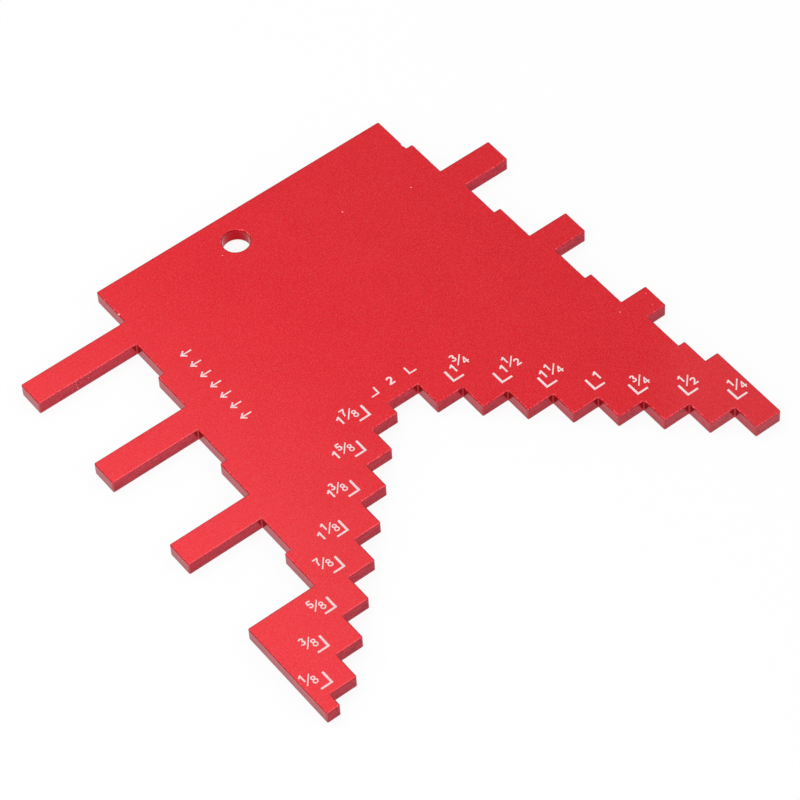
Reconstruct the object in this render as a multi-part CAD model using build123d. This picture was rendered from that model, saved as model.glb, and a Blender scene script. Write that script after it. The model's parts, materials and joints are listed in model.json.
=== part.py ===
from build123d import *
import os

# Step gauge: one flat machined plate that stands on two feet or on its side.
# Two staircases under the arch give heights above the feet, and the prongs
# on both sides give depths behind the line of their tips.
# The plate lies on its back: X across, Y from the feet to the top edge, Z up.
# The origin is the middle of the plate's outer box, on the lower face.

# Plate, in millimetres
INCH = 25.4
HEIGHT = 4.375 * INCH
THICKNESS = 0.125 * INCH

# Staircases under the arch
STAIR_RISE = 0.25 * INCH
ARCH_RISES = 8
LEFT_FIRST_RISE = 0.125 * INCH
RIGHT_RUN = 0.25 * INCH
LEFT_RUN = 6.31
RIGHT_FOOT_WIDTH = 0.25 * INCH
LEFT_FOOT_WIDTH = 0.125 * INCH
ARCH_TOP_WIDTH = 7.45

# Prongs on both sides
PRONGS = 3
PRONG_PITCH = 1.0 * INCH
PRONG_WIDTH = 0.25 * INCH
DEPTH_STEP = INCH / 16
RIGHT_FOOT_HEIGHT = 0.75 * INCH
RIGHT_FIRST_PRONG = 1.5 * INCH
RIGHT_FIRST_DEPTH = 0.125 * INCH
LEFT_FOOT_HEIGHT = 0.98 * INCH
LEFT_FIRST_PRONG = 1.858 * INCH
LEFT_FIRST_DEPTH = 0.625 * INCH

# Hanging hole, measured from the right-hand tips and from the top edge
HOLE_DIAMETER = 15 / 64 * INCH
HOLE_FROM_TIPS = 56.6
HOLE_FROM_TOP = 7.2

# Rounding of the corners seen from above, and the break on every sharp edge
INNER_RADIUS = 0.2
OUTER_RADIUS = 0.3
EDGE_BREAK = 0.12

# Nick in the right-hand wall of the shoulder, just above its highest step
NICK_RADIUS = 0.9
NICK_DEPTH = 0.27
NICK_ABOVE_STEP = 1.15

WIDTH = (RIGHT_FOOT_WIDTH + (ARCH_RISES - 1) * RIGHT_RUN + ARCH_TOP_WIDTH
         + ARCH_RISES * LEFT_RUN + LEFT_FOOT_WIDTH)
RIGHT_SHOULDER_DEPTH = RIGHT_FIRST_DEPTH + (2 * PRONGS + 1) * DEPTH_STEP
RIGHT_TOP_STEP = RIGHT_FIRST_PRONG + (PRONGS - 0.5) * PRONG_PITCH


def comb(foot_height, first_prong, first_depth):
    """Depth and height of each corner up one side, from the foot to the last prong.

    Each gap is one step deeper above its middle, so every wall has its own depth.
    """
    corners = [(0, 0), (0, foot_height)]
    for k in range(PRONGS):
        centre = first_prong + k * PRONG_PITCH
        shallow = first_depth + 2 * k * DEPTH_STEP
        deep = shallow + DEPTH_STEP
        middle = centre - PRONG_PITCH / 2
        lower = centre - PRONG_WIDTH / 2
        corners += [(shallow, corners[-1][1]), (shallow, middle), (deep, middle), (deep, lower)]
        corners += [(0, lower), (0, lower + PRONG_WIDTH)]
    last = first_depth + 2 * PRONGS * DEPTH_STEP
    corners.append((last, corners[-1][1]))
    return corners


def right_side():
    """Corners from the right foot up to the top edge, which has one step more."""
    corners = comb(RIGHT_FOOT_HEIGHT, RIGHT_FIRST_PRONG, RIGHT_FIRST_DEPTH)
    last = corners[-1][0]
    corners += [(last, RIGHT_TOP_STEP), (RIGHT_SHOULDER_DEPTH, RIGHT_TOP_STEP)]
    corners.append((RIGHT_SHOULDER_DEPTH, HEIGHT))
    return [(WIDTH - depth, height) for depth, height in corners]


def left_side():
    """Corners from the top edge down to the left foot."""
    corners = comb(LEFT_FOOT_HEIGHT, LEFT_FIRST_PRONG, LEFT_FIRST_DEPTH)
    corners.append((corners[-1][0], HEIGHT))
    return corners[::-1]


def arch():
    """Corners from the left foot, up one staircase and down the other."""
    x = LEFT_FOOT_WIDTH
    y = 0
    corners = [(x, y)]
    for k in range(ARCH_RISES):
        y = LEFT_FIRST_RISE + k * STAIR_RISE
        corners += [(x, y), (x + LEFT_RUN, y)]
        x += LEFT_RUN
    y = ARCH_RISES * STAIR_RISE
    corners += [(x, y), (x + ARCH_TOP_WIDTH, y)]
    x += ARCH_TOP_WIDTH
    for k in range(1, ARCH_RISES):
        y = (ARCH_RISES - k) * STAIR_RISE
        corners += [(x, y), (x + RIGHT_RUN, y)]
        x += RIGHT_RUN
    corners.append((x, 0))
    return corners


def is_hollow(before, corner, after):
    """True where an outline that runs anticlockwise turns to the right."""
    ax, ay = corner[0] - before[0], corner[1] - before[1]
    bx, by = after[0] - corner[0], after[1] - corner[1]
    return ax * by - ay * bx < 0


def at_corners(face, corners):
    """The vertices of the face that lie on the given corners."""
    points = [Vector(x, y) for x, y in corners]
    return [v for v in face.vertices() if min((Vector(v) - p).length for p in points) < 1e-3]


def outline():
    """The plate seen from above, with its inner and outer corners rounded."""
    corners = [(x - WIDTH / 2, y - HEIGHT / 2) for x, y in right_side() + left_side() + arch()]
    count = len(corners)
    hollow = [corners[i] for i in range(count)
              if is_hollow(corners[i - 1], corners[i], corners[(i + 1) % count])]
    proud = [corner for corner in corners if corner not in hollow]
    face = make_face(Polyline(*corners, close=True))
    face = fillet(at_corners(face, hollow), INNER_RADIUS)
    return fillet(at_corners(face, proud), OUTER_RADIUS)


def hole_place():
    """Place of the hanging hole's axis."""
    return Pos(WIDTH / 2 - HOLE_FROM_TIPS, HEIGHT / 2 - HOLE_FROM_TOP)


def nick():
    """A cutter's slip: an upright round bite out of the shoulder wall."""
    x = WIDTH / 2 - RIGHT_SHOULDER_DEPTH - NICK_DEPTH + NICK_RADIUS
    y = RIGHT_TOP_STEP + NICK_ABOVE_STEP - HEIGHT / 2
    return Pos(x, y, THICKNESS / 2) * Cylinder(NICK_RADIUS, 2 * THICKNESS)


def gauge_plate():
    """The whole gauge as one plate."""
    face = outline() - hole_place() * Circle(HOLE_DIAMETER / 2)
    plate = extrude(face, THICKNESS)
    flats = plate.faces().sort_by(Axis.Z)
    plate = chamfer(flats[0].edges() + flats[-1].edges(), EDGE_BREAK)
    return plate - nick()


os.makedirs("parts", exist_ok=True)
export_step(gauge_plate(), "parts/gauge_plate.step")
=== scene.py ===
import json
from collections import namedtuple
from math import cos, radians, sin

import bpy
import numpy as np
from mathutils import Matrix, Vector


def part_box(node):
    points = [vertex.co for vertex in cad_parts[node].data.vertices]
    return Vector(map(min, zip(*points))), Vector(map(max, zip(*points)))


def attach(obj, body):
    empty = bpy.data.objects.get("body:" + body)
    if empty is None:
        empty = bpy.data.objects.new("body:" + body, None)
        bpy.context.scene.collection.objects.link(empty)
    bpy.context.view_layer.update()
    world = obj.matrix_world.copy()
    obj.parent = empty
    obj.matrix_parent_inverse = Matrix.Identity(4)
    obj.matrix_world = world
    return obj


# A step gauge that lies on its back: one red anodised plate with white marks.
# The frame brings the plate. This script gives it its finish and adds the marks.
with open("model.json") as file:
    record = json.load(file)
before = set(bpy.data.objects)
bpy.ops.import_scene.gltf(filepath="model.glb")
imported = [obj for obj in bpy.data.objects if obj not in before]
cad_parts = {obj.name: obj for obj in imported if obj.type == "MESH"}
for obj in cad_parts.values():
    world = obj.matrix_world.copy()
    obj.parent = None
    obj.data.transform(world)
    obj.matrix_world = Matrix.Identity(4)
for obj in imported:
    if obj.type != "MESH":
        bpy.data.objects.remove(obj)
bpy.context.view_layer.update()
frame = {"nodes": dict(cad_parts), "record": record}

# Places and sizes are in millimetres, unless a comment says otherwise.
# FACE is the height of the marked face.
MM = 0.001
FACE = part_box("gauge_plate")[1].z / MM
HOLE = next(mount for mount in frame["record"]["mounts"] if mount["name"] == "hanging_hole")
HOLE_MIDDLE = [place / MM for place in HOLE["pos_m"]]

# Camera: angles in degrees, as seen from its target on the floor
CAMERA_TARGET = (1.37, -3.65, 0.0)
CAMERA_AZIMUTH = -124.765
CAMERA_ELEVATION = 51.995
CAMERA_DISTANCE = 773.4
CAMERA_ROLL = -3.83
CAMERA_LENS = 175.2
SENSOR_WIDTH = 36.0

# Studio, in metres
FLOOR_SIZE = 4.0
FLOOR_DROP = 0.00002
FLOOR_TONE = (0.95, 0.95, 0.95, 1.0)
FLOOR_GLOW = 0.9
WORLD_LIGHT = 0.66
WHITE = (1.0, 1.0, 1.0, 1.0)

# Lamps: name, azimuth and elevation in degrees, distance and size in metres, power in watts
LAMPS = (
    ("lamp_over", 110, 65, 0.7, 0.3, 1.2),
    ("lamp_left", 200, 30, 0.5, 0.3, 0.6),
    ("lamp_edges", -62, 28, 0.8, 0.35, 0.6),
)

# Colours of the finish, which are linear
DYE_DARK = (0.495, 0.008, 0.013, 1.0)
DYE_LIGHT = (0.705, 0.03, 0.042, 1.0)
# A deep red for painted shade in the hollows and in the hole
DEEP_SHADE = (0.47, 0.002, 0.008, 1.0)
# A pale tone: painted light towards the left foot, and a paler right foot
PALE_TONE = (0.72, 0.15, 0.165, 1.0)
# Walls: the dye darkened by painted shade, as walls get less light than the faces
CUT_DARK = (0.28, 0.003, 0.013, 1.0)
CUT_LIGHT = (0.57, 0.03, 0.052, 1.0)
# Upright corners: pale wear with a painted sheen
CORNER_WORN_SHEEN = (0.46, 0.055, 0.068, 1.0)
# Edges: a paler worn line with a painted highlight, and a darker end for painted shade
EDGE_DARK = (0.3, 0.002, 0.01, 1.0)
EDGE_WORN_HIGHLIGHT = (0.93, 0.13, 0.145, 1.0)
SPECK_LIGHT = (0.95, 0.42, 0.42, 1.0)
SPECK_DARK = (0.16, 0.01, 0.012, 1.0)
NICK_PALE = (0.8, 0.2, 0.22, 1.0)
MARK_LIGHT = (0.94, 0.765, 0.775, 1.0)
MARK_DARK = (0.84, 0.56, 0.57, 1.0)

# Zones of the plate, told by the direction that it faces once its edges are rounded.
# The upright part of that direction is in FACE_LEVEL on the way from edge to face, and
# in WALL_LEVEL on the way from wall to edge. CORNER_TURN is the product of its two
# level parts on the way to an upright corner.
EDGE_ROUND = 0.42
EDGE_SAMPLES = 6
FACE_LEVEL = (0.965, 0.995)
WALL_LEVEL = (0.68, 0.86)
CORNER_TURN = (0.1, 0.45)

# Hollows are the inner corners, where little open sky is left over a wall, and they get
# painted shade. HOLLOW_SPARED is the share of a corner's wear and painted sheen that they
# are spared. BORE_REACH takes in the hole's wall, which gets painted shade too.
HOLLOW_REACH = 1.7
HOLLOW_SKY = (0.5, 1.0)
HOLLOW_SAMPLES = 8
HOLLOW_SPARED = 0.8
BORE_REACH = 7.0

# Ways over the plate: how much x, y and z count, and where the rise starts and ends.
# A value whose name ends in LEFT or TOP is what that way adds.
TO_LEFT_FOOT = ((-1.0, -0.35, 0.0), -15.0, 55.0)
TO_RIGHT_FOOT = ((1.0, -1.0, 0.0), 70.0, 90.0)
TO_TOP_EDGE = ((0.0, 1.0, 0.0), -50.0, 45.0)

# Faces: a fine blasted grain on wide soft clouds
GRAIN_SIZE = 0.2
GRAIN_DETAIL = 1.0
GRAIN_CONTRAST = (0.2, 0.8)
GRAIN_DEPTH = 0.02
GRAIN_BUMP = 0.25
CLOUD_SIZE = 9.0
CLOUD_SHARE = 0.2
SPARKLE_SIZE = 0.22
SPARKLE_ROUGHNESS = 0.8
SPARKLE_CONTRAST = (0.42, 0.82)
SPARKLE_COAT = 0.95
COAT_ROUGHNESS = 0.35
FACE_ROUGHNESS = 0.42
GRAIN_ROUGHNESS = 0.12
WALL_SMOOTHER = 0.26

# Walls: streaks along the cut over a rough grain. LIFT is how much the tone grows from
# the foot of a wall to its top, as painted shade at the foot. ACROSS is for walls that face
# along X, and ALONG for walls that face along Y: their tones are painted light and shade
# by facing and by place.
STREAK_LENGTH = 3.0
STREAK_WIDTH = 0.4
STREAK_CONTRAST = (0.3, 0.7)
STREAK_SHARE = 0.4
CUT_SIZE = 0.35
CUT_ROUGHNESS = 0.6
CUT_CONTRAST = (0.35, 0.65)
CUT_SHARE = 0.6
LIFT = 0.27
ACROSS_LIFT = 0.28
ACROSS_LIGHT = 0.08
ACROSS_LIGHT_LEFT = -0.12
ALONG_LIGHT_TOP = 0.2
# Painted shade in the hollows and in the hole
HOLLOW_SHADE = 0.8
BORE_SHADE = 0.7

# Edges: an uneven bright line of paler worn edge and painted highlight, more towards the
# left foot, with painted shade where it faces along X or to the top edge
CHATTER_SIZE = 0.45
CHATTER_DETAIL = 3.0
CHATTER_ROUGHNESS = 0.7
EDGE_CONTRAST = (0.4, 0.6)
ACROSS_EDGE_SHADE = 0.14
ACROSS_EDGE_SHADE_LEFT = 0.46
TOP_EDGE_SHADE = 0.25
TOP_TURN = (0.0, 0.4)
EDGE_HIGHLIGHT_LEFT = 0.1

# Painted light: faces, walls and corners paler towards the left foot, and a little paler
# on the right foot
FACE_LEFT_LIGHT = 0.12
WALL_LEFT_LIGHT = 0.12
CORNER_LEFT_LIGHT = 0.2
RIGHT_PALE = 0.08

# White layer of the marks
LAYER_SIZE = 0.25
LAYER_WEAR = (0.35, 0.75)
LAYER_WEAR_LEFT = 0.16
LAYER_ROUGHNESS = 0.5
LAYER_ROUGHER = 0.2

# Marks: strokes that stand a little proud of the face, with feet that sink into it
MARK_RISE = 0.012
MARK_SINK = 0.004
DOME_POINTS = 7

# Corner marks: an upright arm and a level arm from each step's corner
CORNER_HEIGHT = 3.17
CORNER_WIDTH = 2.75
CORNER_UPRIGHT_STROKE = 0.49
CORNER_LEVEL_STROKE = 0.43
SMALL_CORNER_HEIGHT = 2.0
SMALL_CORNER_WIDTH = 1.9
SMALL_UPRIGHT_STROKE = 0.38
SMALL_LEVEL_STROKE = 0.31

# Figures of the scale: PLAIN is for a whole inch with no fraction beside it, and FINE
# for the small figures with narrow loops
WHOLE_HEIGHT = 2.12
PLAIN_HEIGHT = 2.2
ARCH_FIGURE_HEIGHT = 2.03
WHOLE_STROKE = 0.39
FIGURE_HEIGHT = 1.82
FIGURE_STROKE = 0.33
FINE_FIGURES = "48"
FINE_STROKE = 0.27
SLASH_STROKE = 0.27

# The scale up each staircase: whole inches and their place, the fraction's two
# figures, the middle of its slash, and the corner of its mark
Step = namedtuple("Step", "whole whole_place upper lower middle corner")
RIGHT_SCALE = (
    Step("1", (13.05, -6.15), "3", "4", (15.2, -5.1), (10.9, -8.9)),
    Step("1", (20.65, -12.6), "1", "2", (22.9, -12.05), (18.1, -15.3)),
    Step("1", (25.85, -18.65), "1", "4", (28.2, -18.9), (24.2, -21.85)),
    Step("1", (33.85, -25.65), "", "", None, (31.1, -28.3)),
    Step("", None, "3", "4", (39.5, -31.95), (36.9, -34.65)),
    Step("", None, "1", "2", (46.75, -38.05), (44.35, -41.1)),
    Step("", None, "1", "4", (53.6, -45.0), (51.15, -48.05)),
)
LEFT_SCALE = (
    Step("1", (-12.25, -2.25), "7", "8", (-9.95, -2.0), (-6.6, -4.95)),
    Step("1", (-18.05, -8.5), "5", "8", (-15.75, -8.2), (-12.65, -11.4)),
    Step("1", (-24.5, -15.4), "3", "8", (-22.65, -15.05), (-19.5, -18.3)),
    Step("1", (-32.05, -22.25), "1", "8", (-29.7, -21.75), (-27.05, -24.55)),
    Step("", None, "7", "8", (-35.7, -27.6), (-32.75, -30.9)),
    Step("", None, "5", "8", (-42.75, -34.65), (-39.75, -37.45)),
    Step("", None, "3", "8", (-49.05, -40.55), (-46.15, -43.7)),
    Step("", None, "1", "8", (-54.1, -47.25), (-50.65, -50.65)),
)

# The arch's own figure, and its two small corner marks with the side that each opens to
ARCH_FIGURE = (1.45, -0.55)
ARCH_CORNERS = ((-2.0, -1.75, -1), (5.35, -1.75, 1))

# From the middle of a fraction to its upper figure, its lower figure and the slash's end
RIGHT_LAYOUT = ((-0.74, 1.04), (0.95, -0.85), (0.97, 1.03))
LEFT_LAYOUT = ((-0.76, 0.93), (1.0, -0.66), (0.9, 1.05))

# Row of arrows that point to the side of the long prongs
ARROWS = 7
ARROW_TIP = -27.1
ARROW_TAIL = -24.5
ARROW_ROW = (10.8, 31.1)
ARROW_HEAD = 0.95
ARROW_HALF_SPAN = 0.8
ARROW_STROKE = 0.33

# Small flaws on the marked face and on the lower wall of the highest long prong:
# place and radius
NICKED_WALL = 39.26
PALE_FLAWS = (
    ((-30.38, 47.84, FACE), 0.27),
    ((35.8, 36.8, FACE), 0.16),
    ((47.7, -16.2, FACE), 0.15),
    ((54.8, -15.8, FACE), 0.12),
    ((53.9, -18.9, FACE), 0.1),
    ((-19.6, -20.8, FACE), 0.15),
    ((-5.07, 46.99, FACE), 0.15),
    ((20.85, 40.75, FACE), 0.13),
    ((20.88, 40.5, FACE), 0.13),
)
WALL_NICKS = (
    ((-47.05, NICKED_WALL, 2.9), 0.16),
    ((-47.0, NICKED_WALL, 2.1), 0.14),
    ((-46.75, NICKED_WALL, 0.9), 0.24),
    ((-44.05, NICKED_WALL, 2.0), 0.17),
)
DARK_FLAWS = (
    ((-30.56, 47.31, FACE), 0.2),
    ((-30.45, 49.92, FACE), 0.16),
    ((33.15, 34.6, FACE), 0.14),
    ((20.3, 41.0, FACE), 0.14),
    ((-46.45, NICKED_WALL, 2.1), 0.25),
    ((-44.8, NICKED_WALL, 2.1), 0.16),
)


class Wire:
    """A node's output. Python's operators on it add Math nodes."""

    def __init__(self, tree, socket):
        self.tree = tree
        self.socket = socket

    def __getitem__(self, name):
        return Wire(self.tree, self.socket.node.outputs[name])

    def __add__(self, other):
        return self.tree.maths("ADD", self, other)

    __radd__ = __add__

    def __sub__(self, other):
        return self.tree.maths("SUBTRACT", self, other)

    def __rsub__(self, other):
        return self.tree.maths("SUBTRACT", other, self)

    def __mul__(self, other):
        return self.tree.maths("MULTIPLY", self, other)

    __rmul__ = __mul__

    def __abs__(self):
        return self.tree.maths("ABSOLUTE", self)


class Tree:
    """The nodes of one material or of the world."""

    def __init__(self, owner):
        owner.use_nodes = True
        self.nodes = owner.node_tree.nodes
        self.links = owner.node_tree.links
        self.nodes.clear()

    def add(self, kind, settings=None, sockets=None):
        """One node: its type, then its settings, then the values or links of its sockets."""
        node = self.nodes.new(kind)
        for name, value in (settings or {}).items():
            setattr(node, name, value)
        for key, value in (sockets or {}).items():
            if isinstance(value, Wire):
                self.links.new(value.socket, node.inputs[key])
            else:
                node.inputs[key].default_value = value
        return Wire(self, node.outputs[0]) if node.outputs else None

    def maths(self, operation, *values):
        return self.add("ShaderNodeMath", {"operation": operation}, dict(enumerate(values)))

    def place(self):
        """Place on the piece, in metres."""
        return self.add("ShaderNodeTexCoord")["Object"]

    def parts(self, vector):
        """The three parts of a vector, by name."""
        return self.add("ShaderNodeSeparateXYZ", None, {0: vector})

    def rounded(self, radius):
        """The surface's direction, as if its edges were rounded to the radius."""
        return self.add("ShaderNodeBevel", {"samples": EDGE_SAMPLES}, {"Radius": radius * MM})

    def open_sky(self, reach):
        """The share of the sky over the surface that nothing within the reach covers."""
        settings = {"samples": HOLLOW_SAMPLES, "only_local": True}
        return self.add("ShaderNodeAmbientOcclusion", settings, {"Distance": reach * MM})["AO"]

    def stretch(self, vector, factors):
        return self.add("ShaderNodeVectorMath", {"operation": "MULTIPLY"}, {0: vector, 1: factors})

    def noise(self, vector, size, detail=2.0, roughness=0.5):
        """Smooth noise with blobs about as wide as the size."""
        sockets = {"Vector": vector, "Scale": 1 / (size * MM), "Detail": detail, "Roughness": roughness}
        return self.add("ShaderNodeTexNoise", None, sockets)

    def rise(self, value, low, high):
        """0 below low, 1 above high, and a smooth step between them."""
        sockets = {"Value": value, "From Min": low, "From Max": high}
        return self.add("ShaderNodeMapRange", {"interpolation_type": "SMOOTHSTEP"}, sockets)

    def mix(self, factor, first, second):
        """A colour between two colours."""
        made = self.add("ShaderNodeMix", {"data_type": "RGBA"}, {0: factor, 6: first, 7: second})
        return Wire(self, made.socket.node.outputs[2])

    def spots(self, vector, places):
        """1 up to half the radius round any of the places, and 0 from the radius on."""
        mask = 0.0
        for centre, radius in places:
            point = [part * MM for part in centre]
            away = self.add("ShaderNodeVectorMath", {"operation": "DISTANCE"}, {0: vector, 1: point})
            mask = 1 - self.rise(away["Value"], radius * MM / 2, radius * MM) + mask
        return mask


def new_material(name):
    material = bpy.data.materials.new(name)
    return material, Tree(material)


def surface(tree, shader):
    tree.add("ShaderNodeOutputMaterial", None, {"Surface": shader})


def towards(tree, place, way):
    """0 before the start of a way over the plate, 1 past its end, and a smooth rise between."""
    counts, start, end = way
    counted = tree.parts(tree.stretch(place, counts))
    return tree.rise(counted["X"] + counted["Y"], start * MM, end * MM)


class Zones:
    """Masks from 0 to 1 over the plate, and the direction that its surface faces."""

    def __init__(self, tree, place):
        self.direction = tree.rounded(EDGE_ROUND)
        facing = tree.parts(self.direction)
        level = abs(facing["Z"])
        self.face = tree.rise(level, *FACE_LEVEL)
        self.wall = 1 - tree.rise(level, *WALL_LEVEL)
        self.across = abs(facing["X"])
        self.along = abs(facing["Y"])
        self.faces_top = tree.rise(facing["Y"], *TOP_TURN)
        self.bore = tree.spots(place, [(HOLE_MIDDLE, BORE_REACH)])
        self.hollow = 1 - tree.rise(tree.open_sky(HOLLOW_REACH), *HOLLOW_SKY)
        turned = tree.rise(self.across * self.along, *CORNER_TURN)
        self.corner = turned * (1 - HOLLOW_SPARED * self.hollow) * (1 - self.bore)
        self.left = towards(tree, place, TO_LEFT_FOOT)
        self.right = towards(tree, place, TO_RIGHT_FOOT)
        self.top = towards(tree, place, TO_TOP_EDGE)


def face_colour(tree, place, grain):
    """Blasted grain on soft clouds."""
    cloud = tree.noise(place, CLOUD_SIZE)
    tone = tree.rise(grain, *GRAIN_CONTRAST) + CLOUD_SHARE * (cloud - 0.5)
    return tree.mix(tone, DYE_DARK, DYE_LIGHT)


def wall_colour(tree, place, zones):
    """Streaks and rough grain that get lighter towards the marked face, as painted shade at a wall's
    foot.

    Walls that face along Y get painted light towards the top edge, and walls that face along X
    painted light by their facing, less towards the left foot. The hollows and the hole get
    painted shade, and the upright corners pale wear with a painted sheen.
    """
    flatter = STREAK_WIDTH / STREAK_LENGTH
    streak = tree.noise(tree.stretch(place, (flatter, flatter, 1.0)), STREAK_WIDTH)
    rough_cut = tree.noise(place, CUT_SIZE, roughness=CUT_ROUGHNESS)
    height = 1 / (FACE * MM) * tree.parts(place)["Z"] - 0.5
    # Painted light and shade: lighter towards a wall's top, by the way a wall faces, and towards the top
    # edge
    tone = (STREAK_SHARE * tree.rise(streak, *STREAK_CONTRAST)
            + CUT_SHARE * tree.rise(rough_cut, *CUT_CONTRAST)
            + height * (LIFT + ACROSS_LIFT * zones.across)
            + zones.across * (ACROSS_LIGHT + ACROSS_LIGHT_LEFT * zones.left)
            + zones.along * ALONG_LIGHT_TOP * (zones.top - 0.5))
    # Painted shade: the walls' colours are darker than the faces'
    colour = tree.mix(tone, CUT_DARK, CUT_LIGHT)
    # Painted shade: the hollows and the hole's wall turn deep red
    colour = tree.mix(HOLLOW_SHADE * zones.hollow + BORE_SHADE * zones.bore, colour, DEEP_SHADE)
    # Upright corners: pale wear with a painted sheen, less in the hollows and the hole
    return tree.mix(zones.corner, colour, CORNER_WORN_SHEEN)


def edge_colour(tree, place, zones):
    """A bright line that the cutter's chatter breaks up: a paler worn edge and a painted highlight."""
    chatter = tree.noise(place, CHATTER_SIZE, CHATTER_DETAIL, CHATTER_ROUGHNESS)
    # Painted shade where the edge faces along X, more towards the left foot, or to the top edge, and
    # painted highlight towards the left foot
    edge_shade = zones.across * (ACROSS_EDGE_SHADE + ACROSS_EDGE_SHADE_LEFT * zones.left) + TOP_EDGE_SHADE * zones.faces_top
    tone = tree.rise(chatter + EDGE_HIGHLIGHT_LEFT * zones.left - edge_shade, *EDGE_CONTRAST)
    return tree.mix(tone, EDGE_DARK, EDGE_WORN_HIGHLIGHT)


def paled(tree, colour, zones):
    """The colour paler towards the left foot as painted light, and a little paler on the right foot."""
    on_face = FACE_LEFT_LIGHT * (1 - zones.wall)
    on_wall = WALL_LEFT_LIGHT * zones.top * zones.wall * zones.along
    on_corner = CORNER_LEFT_LIGHT * zones.wall * zones.corner
    paleness = zones.left * (on_face + on_wall + on_corner) + RIGHT_PALE * zones.right
    return tree.mix(paleness, colour, PALE_TONE)


def flawed(tree, place, colour):
    """The colour with the small flaws over it."""
    colour = tree.mix(tree.spots(place, PALE_FLAWS), colour, SPECK_LIGHT)
    colour = tree.mix(tree.spots(place, WALL_NICKS), colour, NICK_PALE)
    return tree.mix(tree.spots(place, DARK_FLAWS), colour, SPECK_DARK)


def anodised_finish():
    """Red dyed oxide over fine-blasted aluminium.

    The faces are satin with a fine sparkling grain. The cut walls are smoother, and darker
    by painted shade, and a bright uneven line of worn edge and painted highlight runs along
    the rounded edges between them.
    """
    material, tree = new_material("anodised_red")
    place = tree.place()
    zones = Zones(tree, place)
    grain = tree.noise(place, GRAIN_SIZE, GRAIN_DETAIL)

    outside = tree.mix(zones.face, edge_colour(tree, place, zones), face_colour(tree, place, grain))
    colour = tree.mix(zones.wall, outside, wall_colour(tree, place, zones))
    colour = flawed(tree, place, paled(tree, colour, zones))

    glitter = tree.noise(place, SPARKLE_SIZE, roughness=SPARKLE_ROUGHNESS)
    sparkle = tree.rise(glitter, *SPARKLE_CONTRAST)
    bump = tree.add("ShaderNodeBump", None, {
        "Strength": GRAIN_BUMP,
        "Distance": GRAIN_DEPTH * MM,
        "Height": grain,
        "Normal": zones.direction,
    })
    surface(tree, tree.add("ShaderNodeBsdfPrincipled", None, {
        "Base Color": colour,
        "Metallic": 1.0,
        "Roughness": FACE_ROUGHNESS + GRAIN_ROUGHNESS * grain - WALL_SMOOTHER * zones.wall,
        "Coat Weight": SPARKLE_COAT * sparkle * (1 - zones.wall),
        "Coat Roughness": COAT_ROUGHNESS,
        "Normal": bump,
    }))
    return material


def mark_finish():
    """A matt white layer, a little thinner in places, so that some red warms it.

    It is most worn towards the left foot.
    """
    material, tree = new_material("mark_white")
    place = tree.place()
    thin = tree.noise(place, LAYER_SIZE)
    worn = thin + LAYER_WEAR_LEFT * towards(tree, place, TO_LEFT_FOOT)
    surface(tree, tree.add("ShaderNodeBsdfPrincipled", None, {
        "Base Color": tree.mix(tree.rise(worn, *LAYER_WEAR), MARK_LIGHT, MARK_DARK),
        "Roughness": LAYER_ROUGHNESS + LAYER_ROUGHER * thin,
    }))
    return material


def arc(centre, radii, start, end, points=14):
    """Points on an ellipse: centre + radii * (cos a, sin a), with a from start to end degrees."""
    a = np.radians(np.linspace(start, end, points))
    return np.column_stack((centre[0] + radii[0] * np.cos(a), centre[1] + radii[1] * np.sin(a)))


def line(*points):
    return np.array(points)


# Strokes of each figure, as paths in a cell one unit high with its middle at the origin
TWO_BOWL = arc((0.0, 0.19), (0.225, 0.215), 170, -30)
FIGURES = {
    "1": (line((0.05, 0.5), (0.05, -0.5)),
          line((-0.27, 0.20), (-0.12, 0.29), (0.03, 0.44))),
    "2": (np.vstack((TWO_BOWL, (-0.20, -0.38))),
          line((-0.33, -0.405), (0.33, -0.405))),
    "3": (arc((-0.01, 0.235), (0.20, 0.17), 165, -80),
          arc((-0.01, -0.19), (0.235, 0.215), 95, -165)),
    "4": (line((0.12, 0.5), (0.12, -0.5)),
          line((-0.36, -0.18), (0.35, -0.18)),
          line((-0.29, -0.16), (0.10, 0.43))),
    "5": (line((0.27, 0.41), (-0.16, 0.41), (-0.22, 0.0)),
          arc((-0.01, -0.17), (0.235, 0.235), 145, -160)),
    "7": (line((-0.32, 0.41), (0.32, 0.41)),
          line((0.26, 0.38), (0.02, 0.0), (-0.07, -0.5))),
    "8": (arc((0.0, 0.255), (0.205, 0.19), 0, 360, 22),
          arc((0.0, -0.22), (0.25, 0.235), 0, 360, 22)),
}


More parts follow.
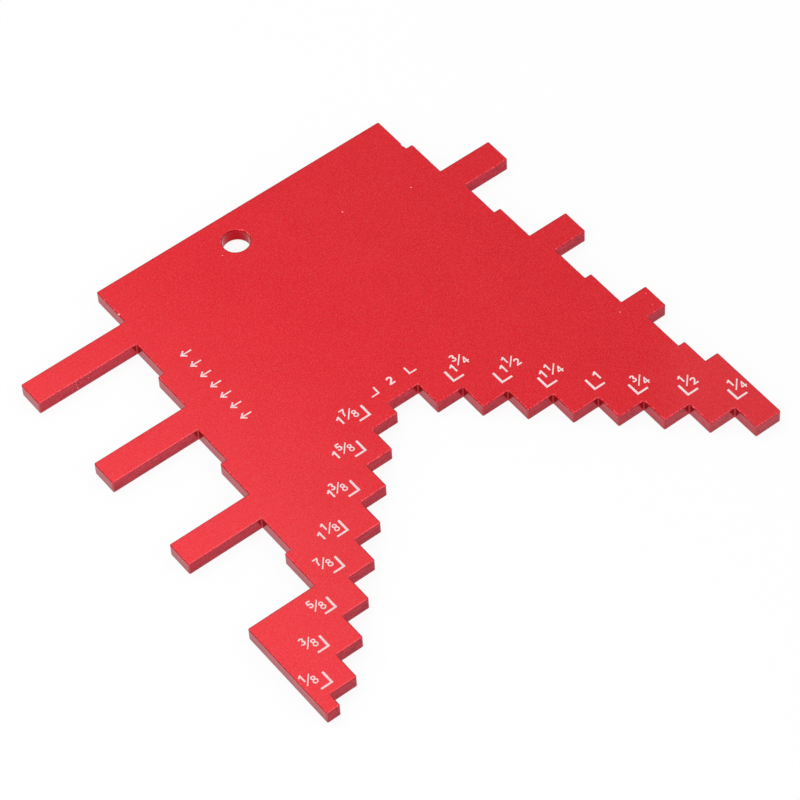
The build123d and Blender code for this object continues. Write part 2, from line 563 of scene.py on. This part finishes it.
def ribbon(path, stroke):
    """One stroke as a closed solid: a low dome carried along the path.

    Across the path a point lies at half the stroke times cos a, and stands over the
    face by the mark's rise times sin a, for a from 0 to 180 degrees. On each side a
    foot reaches a little under the face.
    At a bend the section leans on the mitre, so the stroke keeps its width.
    The points come back with the four-sided faces and the faces that close the ends.
    """
    joined = np.allclose(path[0], path[-1])
    steps = np.diff(path, axis=0)
    steps /= np.linalg.norm(steps, axis=1)[:, None]
    before = np.vstack((steps[-1:] if joined else steps[:1], steps))
    after = np.vstack((steps, steps[:1] if joined else steps[-1:]))
    sides = np.column_stack((-before[:, 1] - after[:, 1], before[:, 0] + after[:, 0]))
    sides /= (1 + np.sum(before * after, axis=1))[:, None]

    a = np.linspace(0, np.pi, DOME_POINTS)
    across = np.concatenate(([1.0], np.cos(a), [-1.0])) * stroke / 2
    height = np.concatenate(([-MARK_SINK], MARK_RISE * np.sin(a), [-MARK_SINK])) + FACE
    flat = path[:, None, :] + across[None, :, None] * sides[:, None, :]
    points = np.concatenate((flat, np.broadcast_to(height[None, :, None], flat.shape[:2] + (1,))), axis=2)

    rows, columns = flat.shape[:2]
    index = np.arange(rows * columns).reshape(rows, columns)
    ends = np.stack((index[0, ::-1], index[-1]))
    if joined:
        points = points[:-1]
        index[-1] = index[0]
        ends = ends[:0]
    beside = np.roll(index, -1, axis=1)
    quads = np.stack((index[:-1], beside[:-1], beside[1:], index[1:]), axis=2)
    return points.reshape(-1, 3), quads.reshape(-1, 4), ends


def piece_of(name, ribbons, material):
    """One mesh of many closed strokes, which rides on the plate."""
    points, quads, ends = zip(*ribbons)
    starts = np.cumsum([0] + [len(stroke) for stroke in points[:-1]])
    quads = np.vstack([stroke + start for stroke, start in zip(quads, starts)])
    ends = np.vstack([stroke + start for stroke, start in zip(ends, starts)])
    mesh = bpy.data.meshes.new(name)
    mesh.from_pydata(np.vstack(points) * MM, [], quads.tolist() + ends.tolist())
    mesh.materials.append(material)
    piece = bpy.data.objects.new(name, mesh)
    bpy.context.scene.collection.objects.link(piece)
    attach(piece, "root")
    return piece


def written(name, place, height, stroke):
    """The ribbons of one figure of the scale."""
    return [ribbon(path * height + np.array(place), stroke) for path in FIGURES[name]]


def small_figure(name, place):
    """A figure of a fraction: one with narrow loops is drawn finer."""
    stroke = FINE_STROKE if name in FINE_FIGURES else FIGURE_STROKE
    return written(name, place, FIGURE_HEIGHT, stroke)


def fraction(upper, lower, middle, layout):
    """Two small figures on either side of a slash."""
    to_upper, to_lower, to_end = np.array(layout)
    slash = middle + np.array((-to_end, to_end))
    return (small_figure(upper, middle + to_upper) + small_figure(lower, middle + to_lower)
            + [ribbon(slash, SLASH_STROKE)])


def scale_numbers(material):
    """The heights of the steps in inches, and the height of the arch."""
    ribbons = written("2", ARCH_FIGURE, ARCH_FIGURE_HEIGHT, WHOLE_STROKE)
    for scale, layout in ((RIGHT_SCALE, RIGHT_LAYOUT), (LEFT_SCALE, LEFT_LAYOUT)):
        for step in scale:
            if step.whole:
                height = WHOLE_HEIGHT if step.upper else PLAIN_HEIGHT
                ribbons += written(step.whole, step.whole_place, height, WHOLE_STROKE)
            if step.upper:
                ribbons += fraction(step.upper, step.lower, step.middle, layout)
    return piece_of("scale_numbers", ribbons, material)


def corner_mark(x, y, side, width, height, upright_stroke, level_stroke):
    """Two square-ended arms from a corner: one up the plate, one to the given side."""
    upright_x = x + side * upright_stroke / 2
    level_y = y + level_stroke / 2
    return [ribbon(line((upright_x, y), (upright_x, y + height)), upright_stroke),
            ribbon(line((x, level_y), (x + side * width, level_y)), level_stroke)]


def corner_marks(material):
    """The corners that repeat each step beside its number."""
    ribbons = []
    for scale, side in ((RIGHT_SCALE, 1), (LEFT_SCALE, -1)):
        for step in scale:
            x, y = step.corner
            ribbons += corner_mark(x, y, side, CORNER_WIDTH, CORNER_HEIGHT,
                                   CORNER_UPRIGHT_STROKE, CORNER_LEVEL_STROKE)
    for x, y, side in ARCH_CORNERS:
        ribbons += corner_mark(x, y, side, SMALL_CORNER_WIDTH, SMALL_CORNER_HEIGHT,
                               SMALL_UPRIGHT_STROKE, SMALL_LEVEL_STROKE)
    return piece_of("corner_marks", ribbons, material)


def edge_arrows(material):
    """A row of plain arrows that point to the side with the long prongs."""
    ribbons = []
    tip = ARROW_TIP + ARROW_STROKE / 2
    neck = tip + ARROW_HEAD
    for y in np.linspace(*ARROW_ROW, ARROWS):
        shaft = line((ARROW_TAIL, y), (tip, y))
        head = line((neck, y - ARROW_HALF_SPAN), (tip, y), (neck, y + ARROW_HALF_SPAN))
        ribbons += [ribbon(shaft, ARROW_STROKE), ribbon(head, ARROW_STROKE)]
    return piece_of("edge_arrows", ribbons, material)


def direction(azimuth, elevation):
    """Unit vector from the plate's middle, with the azimuth counted from +X."""
    a, e = radians(azimuth), radians(elevation)
    return Vector((cos(e) * cos(a), cos(e) * sin(a), sin(e)))


def camera():
    data = bpy.data.cameras.new("camera")
    data.lens = CAMERA_LENS
    data.sensor_width = SENSOR_WIDTH
    eye = bpy.data.objects.new("camera", data)
    bpy.context.scene.collection.objects.link(eye)
    away = direction(CAMERA_AZIMUTH, CAMERA_ELEVATION)
    eye.location = Vector(CAMERA_TARGET) * MM + away * CAMERA_DISTANCE * MM
    turn = (-away).to_track_quat("-Z", "Y").to_matrix() @ Matrix.Rotation(radians(CAMERA_ROLL), 3, "Z")
    eye.rotation_euler = turn.to_euler()
    bpy.context.scene.camera = eye


def soft_lamp(name, azimuth, elevation, distance, size, power):
    """A square lamp that faces the plate."""
    data = bpy.data.lights.new(name, "AREA")
    data.shape = "SQUARE"
    data.size = size
    data.energy = power
    lamp = bpy.data.objects.new(name, data)
    bpy.context.scene.collection.objects.link(lamp)
    away = direction(azimuth, elevation)
    lamp.location = away * distance
    lamp.rotation_euler = (-away).to_track_quat("-Z", "Y").to_euler()


def seen_directly(tree):
    """1 for rays that come from the camera, off a gloss or through glass."""
    path = tree.add("ShaderNodeLightPath")
    camera_or_gloss = tree.maths("MAXIMUM", path["Is Camera Ray"], path["Is Glossy Ray"])
    return tree.maths("MAXIMUM", camera_or_gloss, path["Is Transmission Ray"])


def white_room():
    """A white world: plain light on the object, and pure white behind it."""
    world = bpy.data.worlds.new("white_room")
    bpy.context.scene.world = world
    tree = Tree(world)
    strength = WORLD_LIGHT + (1 - WORLD_LIGHT) * seen_directly(tree)
    light = tree.add("ShaderNodeBackground", None, {"Color": WHITE, "Strength": strength})
    tree.add("ShaderNodeOutputWorld", None, {"Surface": light})


def floor():
    """A plain pale floor that reads white and keeps a faint shadow."""
    material, tree = new_material("floor_white")
    matt = tree.add("ShaderNodeBsdfDiffuse", None, {"Color": FLOOR_TONE})
    glow = tree.add("ShaderNodeEmission", None, {"Color": WHITE, "Strength": 1.0})
    share = FLOOR_GLOW * seen_directly(tree)
    surface(tree, tree.add("ShaderNodeMixShader", None, {0: share, 1: matt, 2: glow}))
    square = np.array(((-1, -1), (1, -1), (1, 1), (-1, 1))) * FLOOR_SIZE / 2
    corners = np.column_stack((square, np.full(len(square), -FLOOR_DROP)))
    mesh = bpy.data.meshes.new("floor")
    mesh.from_pydata(corners, [], [(0, 1, 2, 3)])
    mesh.materials.append(material)
    ground = bpy.data.objects.new("floor", mesh)
    bpy.context.scene.collection.objects.link(ground)


def dress_plate():
    """The plate from the frame gets its real finish."""
    plate = frame["nodes"]["gauge_plate"]
    finish = anodised_finish()
    for slot in plate.material_slots:
        slot.material = finish


camera()
white_room()
floor()
for lamp in LAMPS:
    soft_lamp(*lamp)
dress_plate()
marks = mark_finish()
scale_numbers(marks)
corner_marks(marks)
edge_arrows(marks)
bpy.context.scene.view_settings.view_transform = "Standard"
